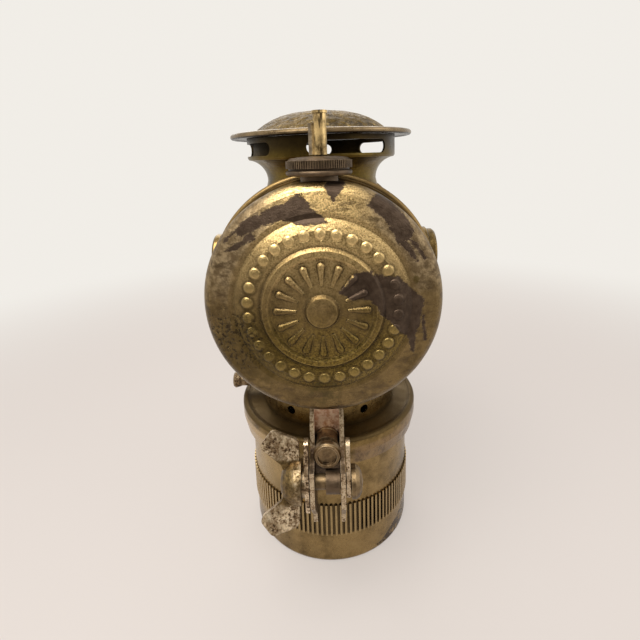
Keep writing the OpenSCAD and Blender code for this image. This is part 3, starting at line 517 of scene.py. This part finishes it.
def tank_plating(paint, radius, pebble, zones):
    """Gold with a painted highlight above, beige at the shoulders, olive with painted shade below, with painted shade
    in the corners and painted highlights on the crests.
    """
    gold, beige, olive_shade = zones
    # Painted highlight over the upper middle.
    paint.over(paint.times(gold, 0.9), paint.mix(paint.band(pebble, 0.34, 0.60), *TANK_GOLD_HIGHLIGHT))
    paint.over(paint.times(beige, 0.9), paint.mix(paint.band(paint.haze, 0.40, 0.62), *TANK_MATT))
    # Painted shade over the lower part.
    shaded_olive = paint.mix(paint.band(pebble, 0.35, 0.65), *TANK_OLIVE_SHADE)
    paint.over(paint.times(olive_shade, paint.band(radius, *OLIVE_SHADE_RADIUS, 0.1, 0.85)), shaded_olive)
    # Painted shade in the tank's corners.
    paint.over(paint.band(paint.hollow(1.6), 0.97, 0.70, end=0.9), DIRT_AND_SHADE)
    # Painted highlights on sharp crests.
    crest_highlight = paint.times(paint.edge(0.6), paint.band(paint.hollow(1.6), 0.93, 0.99))
    paint.over(paint.times(crest_highlight, 0.45), TANK_CREST_HIGHLIGHT)


def tank_studs(paint, radius, gold):
    """Tops of the studs, rubbed and with a painted highlight, and painted shade round their feet. Gives the share of
    the tops.
    """
    height = paint.calc("SUBTRACT", paint.axes["Z"], HOUSE_MIDDLE[2])
    angle = paint.calc("SUBTRACT", paint.calc("ARCTAN2", height, paint.axes["X"]), STUD_STEP / 2)
    along = paint.times(paint.calc("WRAP", angle, STUD_STEP / 2, -STUD_STEP / 2), STUD_RING)
    across = paint.calc("SUBTRACT", radius, STUD_RING)
    far = paint.calc("SQRT", paint.calc("MULTIPLY_ADD", along, along, paint.times(across, across)))
    tops = paint.band(far, *STUD_TOP)
    # Rubbed tops with a painted highlight.
    paint.over(paint.times(tops, 0.5), paint.mix(gold, *STUD_TOPS))
    # Painted shade round each stud, weaker in the gold.
    paint.over(paint.times(paint.within(far, STUD_RIM), paint.band(gold, 0.0, 0.6, 0.55, 0.12)), STUD_RIM_SHADE)
    return tops


def tank_bare(paint, radius):
    """Smears, and dark patches where the plating has gone, with a few scuffs in them. Gives their share."""
    streaks = paint.noise(2.0, detail=6.0, rough=0.7, stretch=(0.35, 1.0, 1.0), shift=83.0)
    smear = paint.times(paint.band(radius, *SMEAR_RADIUS), paint.band(streaks, 0.50, 0.62, end=0.65))
    paint.over(smear, TANK_SMEAR)
    bare = None
    for corners in TANK_PATCHES:
        here = paint.patch(corners)
        bare = here if bare is None else paint.calc("MAXIMUM", bare, here)
    scuffed = paint.noise(1.2, detail=6.0, rough=0.75, stretch=(1.0, 1.0, 0.3), shift=9.0)
    bare = paint.times(bare, paint.band(scuffed, 0.25, 0.31))
    paint.over(bare, paint.mix(paint.band(paint.haze, 0.35, 0.70), *BARE_SHEET))
    return bare


def tank_stains(paint):
    """A round stain at the right, green below, a darker spot and a dark rash at the lower left. Gives the rash's
    share.
    """
    paint.over(paint.times(paint.spot(*STAIN_SPOT, ragged=0.9), 0.75), TANK_STAIN)
    paint.over(paint.times(paint.spot(*GREEN_SPOT), paint.band(paint.haze, 0.40, 0.65, end=0.7)), TANK_GREEN)
    # Darkens the lower left.
    paint.over(paint.times(paint.spot(*LOWER_LEFT_SPOT, ragged=0.8), 0.55), TANK_LOWER_LEFT_DARK)
    coarse = paint.noise(1.1, detail=4.0, rough=0.65, shift=61.0)
    rash = paint.times(paint.spot(*RASH_SPOT, ragged=1.0), paint.band(coarse, 0.50, 0.58, end=0.75))
    paint.over(rash, DIRT_AND_SHADE)
    return rash


def tank_metal():
    """Rear of the water tank: gold with a painted highlight above, dull olive with painted shade below, with sharp
    dark patches where the plating went.
    """
    paint = OldMetal("tank_metal", TANK_TONES, blots=6.0, reach=1.6, bright=0.7)
    radius = paint.far(FACE_ON, HOUSE_MIDDLE)
    pebble = paint.noise(0.5, detail=3.0, rough=0.6, shift=51.0)
    zones = tank_zones(paint, radius)
    gold, beige = zones[:2]
    tank_plating(paint, radius, pebble, zones)
    tops = tank_studs(paint, radius, gold)
    bare = tank_bare(paint, radius)
    rash = tank_stains(paint)
    relief = paint.relief(paint.calc("MAXIMUM", paint.holes, rash), skin=0.14)
    relief = paint.bump(paint.times(pebble, paint.rest(tops)), 0.12, relief)
    relief = paint.bump(paint.rest(bare), 0.06, relief)
    dull = paint.calc("MAXIMUM", bare, beige)
    return paint.finish(paint.wavy(paint.sheen(0.24, 0.38), dull, 0.18), relief)


def hood_metal():
    """Pressed dome of the hood: hammered, grey brown with brass on the high spots."""
    paint = OldMetal("hood_metal", HOOD_TONES, blots=9.0, bright=0.4)
    lump = paint.noise(3.4, detail=4.0, rough=0.55, shift=19.0)
    vein = paint.noise(2.2, detail=6.0, rough=0.65, shift=13.0)
    paint.over(paint.band(lump, 0.50, 0.36, end=0.75), HOOD_DENT)
    paint.over(paint.band(vein, 0.55, 0.66, end=0.6), HOOD_VEIN)
    paint.over(paint.band(paint.axes["X"], *HOOD_LEFT, end=0.45), HOOD_SHADE)
    height = paint.wavy(paint.band(lump, 0.36, 0.62), vein, 0.5)
    return paint.finish(paint.sheen(0.46, 0.64), paint.bump(height, 0.8, paint.relief()), metallic=0.95)


def chimney_metal():
    """Slotted collar and neck: brown brass, sooty high up, and darkened inside by painted shade."""
    paint = OldMetal("chimney_metal", CHIMNEY_TONES, blots=8.0, bright=0.8)
    soot = paint.wavy(paint.axes["Z"], paint.cloud, 5.0)
    paint.over(paint.band(soot, *CHIMNEY_SOOT, end=0.8), DIRT_AND_SHADE)
    return paint.finish(paint.sheen(0.26, 0.42))


def brim_metal():
    """Flat brim: bright rolled edge, greyer top, painted shade underneath."""
    paint = OldMetal("brim_metal", BRIM_TONES, blots=9.0)
    # Painted shade on the faces that look down.
    paint.over(paint.band(paint.facing("Z"), -0.35, -0.75), DIRT_AND_SHADE)
    return paint.finish(paint.sheen(0.22, 0.38))


def cup_metal():
    """Carbide cup: painted light on its left, painted highlights on the rib crests, painted shade in the valleys,
    brown gold foot with one worn dark place.
    """
    paint = OldMetal("cup_metal", CUP_TONES, blots=12.0, reach=1.4)
    radius = paint.far(FROM_ABOVE)
    above_foot = paint.band(paint.axes["Z"], *ABOVE_FOOT)
    paint.over(paint.times(paint.lit_side(0.6), above_foot), CUP_LIT)
    ribs = paint.within(paint.axes["Z"], RIB_ZONE)
    # Painted highlight on the rib crests.
    crest_highlight = paint.times(ribs, paint.band(radius, RIB_FLANK, RIB_CREST))
    paint.over(paint.times(crest_highlight, 0.5), RIB_CREST_HIGHLIGHT)
    # Painted shade in the rib valleys.
    paint.over(paint.times(ribs, paint.band(radius, RIB_FLANK, RIB_VALLEY, end=0.8)), RIB_VALLEY_SHADE)
    behind = paint.band(paint.axes["Y"], *CHIP_BEHIND)
    flaked = paint.band(paint.noise(3.0, detail=6.0, rough=0.75, shift=14.0), 0.42, 0.47)
    chip = paint.times(paint.times(paint.patch(CUP_CHIP), behind), flaked)
    paint.over(chip, CHIP_TONE)
    relief = paint.bump(paint.rest(chip), 0.06, paint.relief())
    return paint.finish(paint.sheen(0.20, 0.36), relief, metallic=0.97)


def cap_metal():
    """Generator cap and fittings: brown gold, painted light on the skirt's left, a scuffed pinkish band on the
    skirt's right, and a top that is rougher and darkened by painted shade.
    """
    paint = OldMetal("cap_metal", CAP_TONES, blots=9.0)
    skirt = paint.within(paint.axes["Z"], SKIRT_ZONE)
    paint.over(paint.times(paint.times(skirt, paint.lit_side()), 0.6), SKIRT_LIT)
    side = paint.band(paint.wavy(paint.axes["X"], paint.haze, 8.0), *SKIRT_RIGHT)
    behind = paint.band(paint.axes["Y"], *SKIRT_BEHIND)
    band = paint.times(paint.times(skirt, side), behind)
    paint.over(paint.times(band, 0.30), SKIRT_PINK)
    # Painted shade on the ledge, which is also made rougher.
    dull = paint.times(paint.within(paint.axes["Z"], LEDGE_ZONE), paint.band(paint.cloud, 0.35, 0.55, 0.55, 0.9))
    paint.over(dull, LEDGE_SHADE)
    scuff = paint.noise(3.4, detail=7.0, rough=0.7, stretch=(1.0, 1.0, 0.6), shift=44.0)
    paint.over(paint.times(band, paint.band(scuff, 0.50, 0.62, end=0.6)), SKIRT_MARK)
    return paint.finish(paint.wavy(paint.sheen(0.20, 0.38), dull, 0.28), metallic=0.97)


def pitted_plate(paint, colour, shift, fine):
    """A colour eaten through, with brown rims and dark pits, fine and coarse. Gives it and the pits' share."""
    rot = paint.noise(fine, detail=7.0, rough=0.72, shift=shift)
    broad = paint.noise(fine * 3.2, detail=6.0, rough=0.7, shift=shift + 40.0)
    spread = paint.calc("MULTIPLY_ADD", broad, 0.45, paint.times(rot, 0.55))
    eaten = paint.band(spread, 0.54, 0.58)
    rimmed = paint.mix(paint.band(spread, 0.47, 0.54), colour, PLATE_RIM)
    return paint.mix(eaten, rimmed, PLATE_PIT), eaten


def channel_metal():
    """Bracket channel: copper showing through above, dark sides, pale pitted edges."""
    paint = OldMetal("channel_metal", CHANNEL_TONES, blots=5.0, reach=0.9, wear=(0.66, 0.52, 0.36))
    high = paint.wavy(paint.axes["Z"], paint.haze, 14.0)
    copper = paint.mix(paint.band(paint.haze, 0.40, 0.60), *CHANNEL_COPPER)
    paint.over(paint.band(high, *CHANNEL_COPPER_FROM, end=0.9), copper)
    outer = paint.band(paint.calc("ABSOLUTE", paint.axes["X"]), *CHANNEL_SIDE)
    rear = paint.band(paint.facing("Y"), -0.6, -0.9)
    pale, _ = pitted_plate(paint, CHANNEL_EDGE, shift=57.0, fine=0.5)
    paint.over(paint.times(outer, rear), pale)
    return paint.finish(paint.sheen(0.32, 0.50), paint.relief(skin=0.18), metallic=0.7)


def plated_metal(name, tones):
    """Cream nickel plate, eaten through in dark pits with brown rims."""
    paint = OldMetal(name, tones, blots=5.0, reach=1.2, wear=CREAM)
    paint.colour, eaten = pitted_plate(paint, paint.colour, shift=23.0, fine=0.8)
    relief = paint.bump(paint.rest(eaten), 0.08, paint.relief())
    return paint.finish(paint.wavy(paint.sheen(0.30, 0.44), eaten, 0.25), relief)


def wing_metal():
    """Wing nut: pitted cream plate on the wings, brown gold hub."""
    paint = OldMetal("wing_metal", WING_TONES, blots=4.0, reach=1.2, wear=(0.10, 0.065, 0.035), bright=0.9)
    paint.colour, eaten = pitted_plate(paint, paint.colour, shift=31.0, fine=0.9)
    hub = paint.band(paint.wavy(paint.far(SIDE_ON, HUB_MIDDLE), paint.haze, 1.6), *HUB_RADIUS)
    gold = paint.mix(paint.band(paint.haze, 0.35, 0.65), *HUB_GOLD)
    paint.over(hub, paint.mix(paint.band(paint.grain, 0.50, 0.62, end=0.6), gold, HUB_GRAIN))
    relief = paint.bump(paint.rest(eaten), 0.10, paint.relief())
    return paint.finish(paint.wavy(paint.sheen(0.34, 0.48), eaten, 0.22), relief)


def lever_metal():
    """Valve lever: grey plated flange, bright gold tab with dark runs, painted shade in the corner."""
    paint = OldMetal("lever_metal", LEVER_TONES, blots=4.0, reach=0.8)
    runs = paint.noise(1.3, detail=4.0, rough=0.6, stretch=(1.0, 1.0, 0.16), shift=17.0)
    paint.over(paint.band(runs, 0.54, 0.62, end=0.85), LEVER_RUN)
    flange = paint.band(paint.wavy(paint.axes["X"], paint.haze, 1.2), *LEVER_FLANGE)
    paint.over(flange, paint.mix(paint.band(paint.cloud, 0.4, 0.6), *LEVER_GREY))
    return paint.finish(paint.sheen(0.28, 0.44))


def soft_solid(name, colour, rough, weave):
    """Rubber or felt: matt, with its own small relief and dust."""
    paint = Paint(name)
    fibre = paint.noise(weave, detail=5.0, rough=0.7, stretch=(1, 1, 3))
    dust = paint.noise(6.0, detail=4.0, rough=0.6, shift=8.0)
    tone = paint.mix(paint.band(fibre, 0.35, 0.65), tuple(c * 0.6 for c in colour), colour)
    tone = paint.mix(paint.band(dust, 0.55, 0.75, end=0.4), tone, CLOTH_DUST)
    paint.metal(tone, paint.band(fibre, 0.3, 0.7, rough, 1.0), paint.bump(fibre, 0.15), metallic=0.0)
    return paint.material


def ceramic():
    """Burner tip: off-white steatite, sooted near the jets."""
    paint = Paint("burner_ceramic")
    cloud = paint.noise(2.5, detail=4.0, rough=0.6)
    soot = paint.wavy(paint.axes["Z"], cloud, 4.0)
    tone = paint.mix(paint.band(soot, *BURNER_SOOT, end=0.7), paint.mix(cloud, *STEATITE), STEATITE_SOOT)
    paint.metal(tone, paint.band(cloud, 0.3, 0.7, 0.45, 0.7), paint.bump(cloud, 0.04), metallic=0.0)
    return paint.material


def glass(name, colour, ripple):
    """Old pressed glass: faint ripples of this depth and fine dust on top."""
    paint = Paint(name)
    dust = paint.noise(1.4, detail=6.0, rough=0.7, shift=4.0)
    shader = paint.add("ShaderNodeBsdfPrincipled")
    paint.put_all(
        shader, Metallic=0.0, IOR=1.5, Transmission_Weight=1.0,
        Base_Color=paint.mix(paint.band(dust, 0.60, 0.85, end=0.5), colour, GLASS_DUST),
        Roughness=paint.band(dust, 0.45, 0.75, 0.02, 0.22),
        Normal=paint.bump(paint.noise(7.0, detail=2.0, rough=0.4), ripple))
    paint.show(shader)
    return paint.material


def reflector_plate():
    """Polished plate inside the reflector, with rings left by wiping and a soot fan above the flame."""
    paint = Paint("reflector_plate")
    ring = paint.calc("SINE", paint.times(paint.far(FACE_ON, HOUSE_MIDDLE), 5.0))
    cloud = paint.noise(8.0, detail=5.0, rough=0.6)
    tone = paint.mix(paint.band(cloud, 0.40, 0.68), *MIRROR)
    soot = paint.wavy(paint.axes["Z"], cloud, 12.0)
    tone = paint.mix(paint.band(soot, *REFLECTOR_SOOT, end=0.75), tone, MIRROR_SOOT)
    paint.metal(tone, paint.band(cloud, 0.3, 0.7, 0.10, 0.30), paint.bump(ring, 0.01), metallic=0.95)
    return paint.material


def finishes():
    """Every finish once, by the name used in NODE_FINISH."""
    made = {key: plain_metal(*row) for key, row in PLAIN_METALS.items()}
    made.update({
        "tank": tank_metal(),
        "cap": cap_metal(),
        "hood": hood_metal(),
        "brim": brim_metal(),
        "chimney": chimney_metal(),
        "cup": cup_metal(),
        "channel": channel_metal(),
        "cheek": plated_metal("cheek_metal", CHEEK_TONES),
        "plate": plated_metal("plated_metal", PLATE_TONES),
        "wing": wing_metal(),
        "lever": lever_metal(),
        "reflector": reflector_plate(),
        "rubber": soft_solid("gasket_rubber", RUBBER, rough=0.7, weave=1.2),
        "felt": soft_solid("filter_felt", FELT, rough=0.9, weave=0.5),
        "ceramic": ceramic(),
        "clear": glass("clear_glass", GLASS_CLEAR, ripple=0.03),
        "green": glass("green_glass", GLASS_GREEN, ripple=0.06),
        "red": glass("red_glass", GLASS_RED, ripple=0.06),
    })
    return made


def dress(nodes):
    """Gives every CAD node its finish."""
    made = finishes()
    for name, node in nodes.items():
        node.data.materials.clear()
        node.data.materials.append(made[NODE_FINISH[name]])


def map_range(tree, value, smooth=False, **given):
    """A map range node in a bare tree. Inputs are named as in Paint.put_all."""
    node = tree.nodes.new("ShaderNodeMapRange")
    if smooth:
        node.interpolation_type = "SMOOTHSTEP"
    for name, number in given.items():
        node.inputs[name.replace("_", " ")].default_value = number
    tree.links.new(value, node.inputs["Value"])
    return node.outputs["Result"]


def math_node(tree, operation, a, b):
    """A math node between two sockets in a bare tree."""
    node = tree.nodes.new("ShaderNodeMath")
    node.operation = operation
    tree.links.new(a, node.inputs[0])
    tree.links.new(b, node.inputs[1])
    return node.outputs[0]


def backdrop_colour(tree, place):
    """The pale backdrop, shading off behind the photograph's camera, as a room would."""
    parts = tree.nodes.new("ShaderNodeSeparateXYZ")
    tree.links.new(place, parts.inputs[0])
    share = map_range(tree, parts.outputs["Y"], smooth=True, From_Min=SHADE_FROM, From_Max=SHADE_TO)
    ray = tree.nodes.new("ShaderNodeLightPath")
    soften = map_range(tree, ray.outputs["Is Camera Ray"], To_Min=1.0, To_Max=SEEN_SHADE)
    tone = tree.nodes.new("ShaderNodeMix")
    tone.data_type = "RGBA"
    tone.inputs[6].default_value = (*WALL_COLOUR, 1)
    tone.inputs[7].default_value = (*SHADE_COLOUR, 1)
    tree.links.new(math_node(tree, "MULTIPLY", share, soften), tone.inputs[0])
    return tone.outputs[2]


def seen_rays(tree):
    """1 for rays by which the backdrop is seen: straight, in metal, or through glass."""
    ray = tree.nodes.new("ShaderNodeLightPath")
    total = ray.outputs["Is Camera Ray"]
    for name in ("Is Glossy Ray", "Is Transmission Ray"):
        total = math_node(tree, "MAXIMUM", total, ray.outputs[name])
    return total


def floor_paper():
    """Matt paper near the lamp, the backdrop's own colour far from it."""
    paint = Paint("floor_paper")
    fibre = paint.noise(1.5, detail=5.0, rough=0.6)
    tone = paint.mix(fibre, tuple(c * FIBRE_SHADE for c in FLOOR_COLOUR), FLOOR_COLOUR)
    paper = paint.add("ShaderNodeBsdfDiffuse", tone)
    far = paint.length(paint.place)
    share = paint.band(far, *FADE, FLOOR_GLOW_SHARE, 1.0)
    fade = paint.times(share, seen_rays(paint.tree))
    backdrop = backdrop_colour(paint.tree, paint.vector("NORMALIZE", paint.place))
    glow = paint.add("ShaderNodeEmission", paint.mix(paint.band(far, *FADE), FLOOR_GLOW, backdrop))
    paint.show(paint.add("ShaderNodeMixShader", fade, paper.outputs[0], glow.outputs[0]))
    return paint.material


def room():
    """Pale paper under the lamp. Far from it, the paper shows the backdrop's colour, so no horizon is seen."""
    half = FLOOR_SIZE / 2
    mesh = bpy.data.meshes.new("floor")
    corners = [(-half, -half, 0), (half, -half, 0), (half, half, 0), (-half, half, 0)]
    mesh.from_pydata(corners, [], [(0, 1, 2, 3)])
    floor = bpy.data.objects.new("floor", mesh)
    floor.data.materials.append(floor_paper())
    bpy.context.scene.collection.objects.link(floor)


def world():
    """Soft even light from all round. What is seen of it, straight or in metal or glass, is the pale backdrop."""
    scene = bpy.context.scene
    scene.world = bpy.data.worlds.new("room")
    scene.world.use_nodes = True
    tree = scene.world.node_tree
    tree.nodes.clear()
    light = tree.nodes.new("ShaderNodeBackground")
    light.inputs["Color"].default_value = (*ROOM_TINT, 1)
    light.inputs["Strength"].default_value = ROOM_LIGHT
    wall = tree.nodes.new("ShaderNodeBackground")
    wall.inputs["Strength"].default_value = 1.0
    way = tree.nodes.new("ShaderNodeTexCoord").outputs["Generated"]
    tree.links.new(backdrop_colour(tree, way), wall.inputs["Color"])
    pick = tree.nodes.new("ShaderNodeMixShader")
    tree.links.new(seen_rays(tree), pick.inputs[0])
    tree.links.new(light.outputs[0], pick.inputs[1])
    tree.links.new(wall.outputs[0], pick.inputs[2])
    out = tree.nodes.new("ShaderNodeOutputWorld")
    tree.links.new(pick.outputs[0], out.inputs["Surface"])


def softbox(name, place, aim, size, power, tint):
    """A square area light that looks at aim. Places are in millimetres."""
    lamp = bpy.data.lights.new(name, "AREA")
    lamp.size = size * MM
    lamp.energy = power
    lamp.color = tint
    obj = bpy.data.objects.new(name, lamp)
    obj.location = Vector(place) * MM
    way = Vector(aim) - Vector(place)
    obj.rotation_euler = way.to_track_quat("-Z", "Y").to_euler()
    bpy.context.scene.collection.objects.link(obj)


def lights():
    """Key light from the upper left, as in the photograph, a weak fill, and one for the front."""
    for name, row in SOFTBOXES.items():
        softbox(name, *row)


def camera():
    """The photograph's camera."""
    data = bpy.data.cameras.new("photo_camera")
    data.lens = CAMERA_LENS
    data.sensor_width = CAMERA_SENSOR
    data.shift_y = CAMERA_SHIFT
    data.clip_start, data.clip_end = CAMERA_RANGE
    obj = bpy.data.objects.new("photo_camera", data)
    turn = Matrix.Rotation(math.radians(CAMERA_TURN), 4, "Z")
    tilt = Matrix.Rotation(math.radians(90 - CAMERA_PITCH), 4, "X")
    roll = Matrix.Rotation(math.radians(CAMERA_ROLL), 4, "Z")
    obj.matrix_world = Matrix.Translation(Vector(CAMERA_PLACE) * MM) @ turn @ tilt @ roll
    bpy.context.scene.collection.objects.link(obj)
    bpy.context.scene.camera = obj


dress(frame["nodes"])
room()
world()
lights()
camera()
bpy.context.scene.view_settings.view_transform = "Standard"
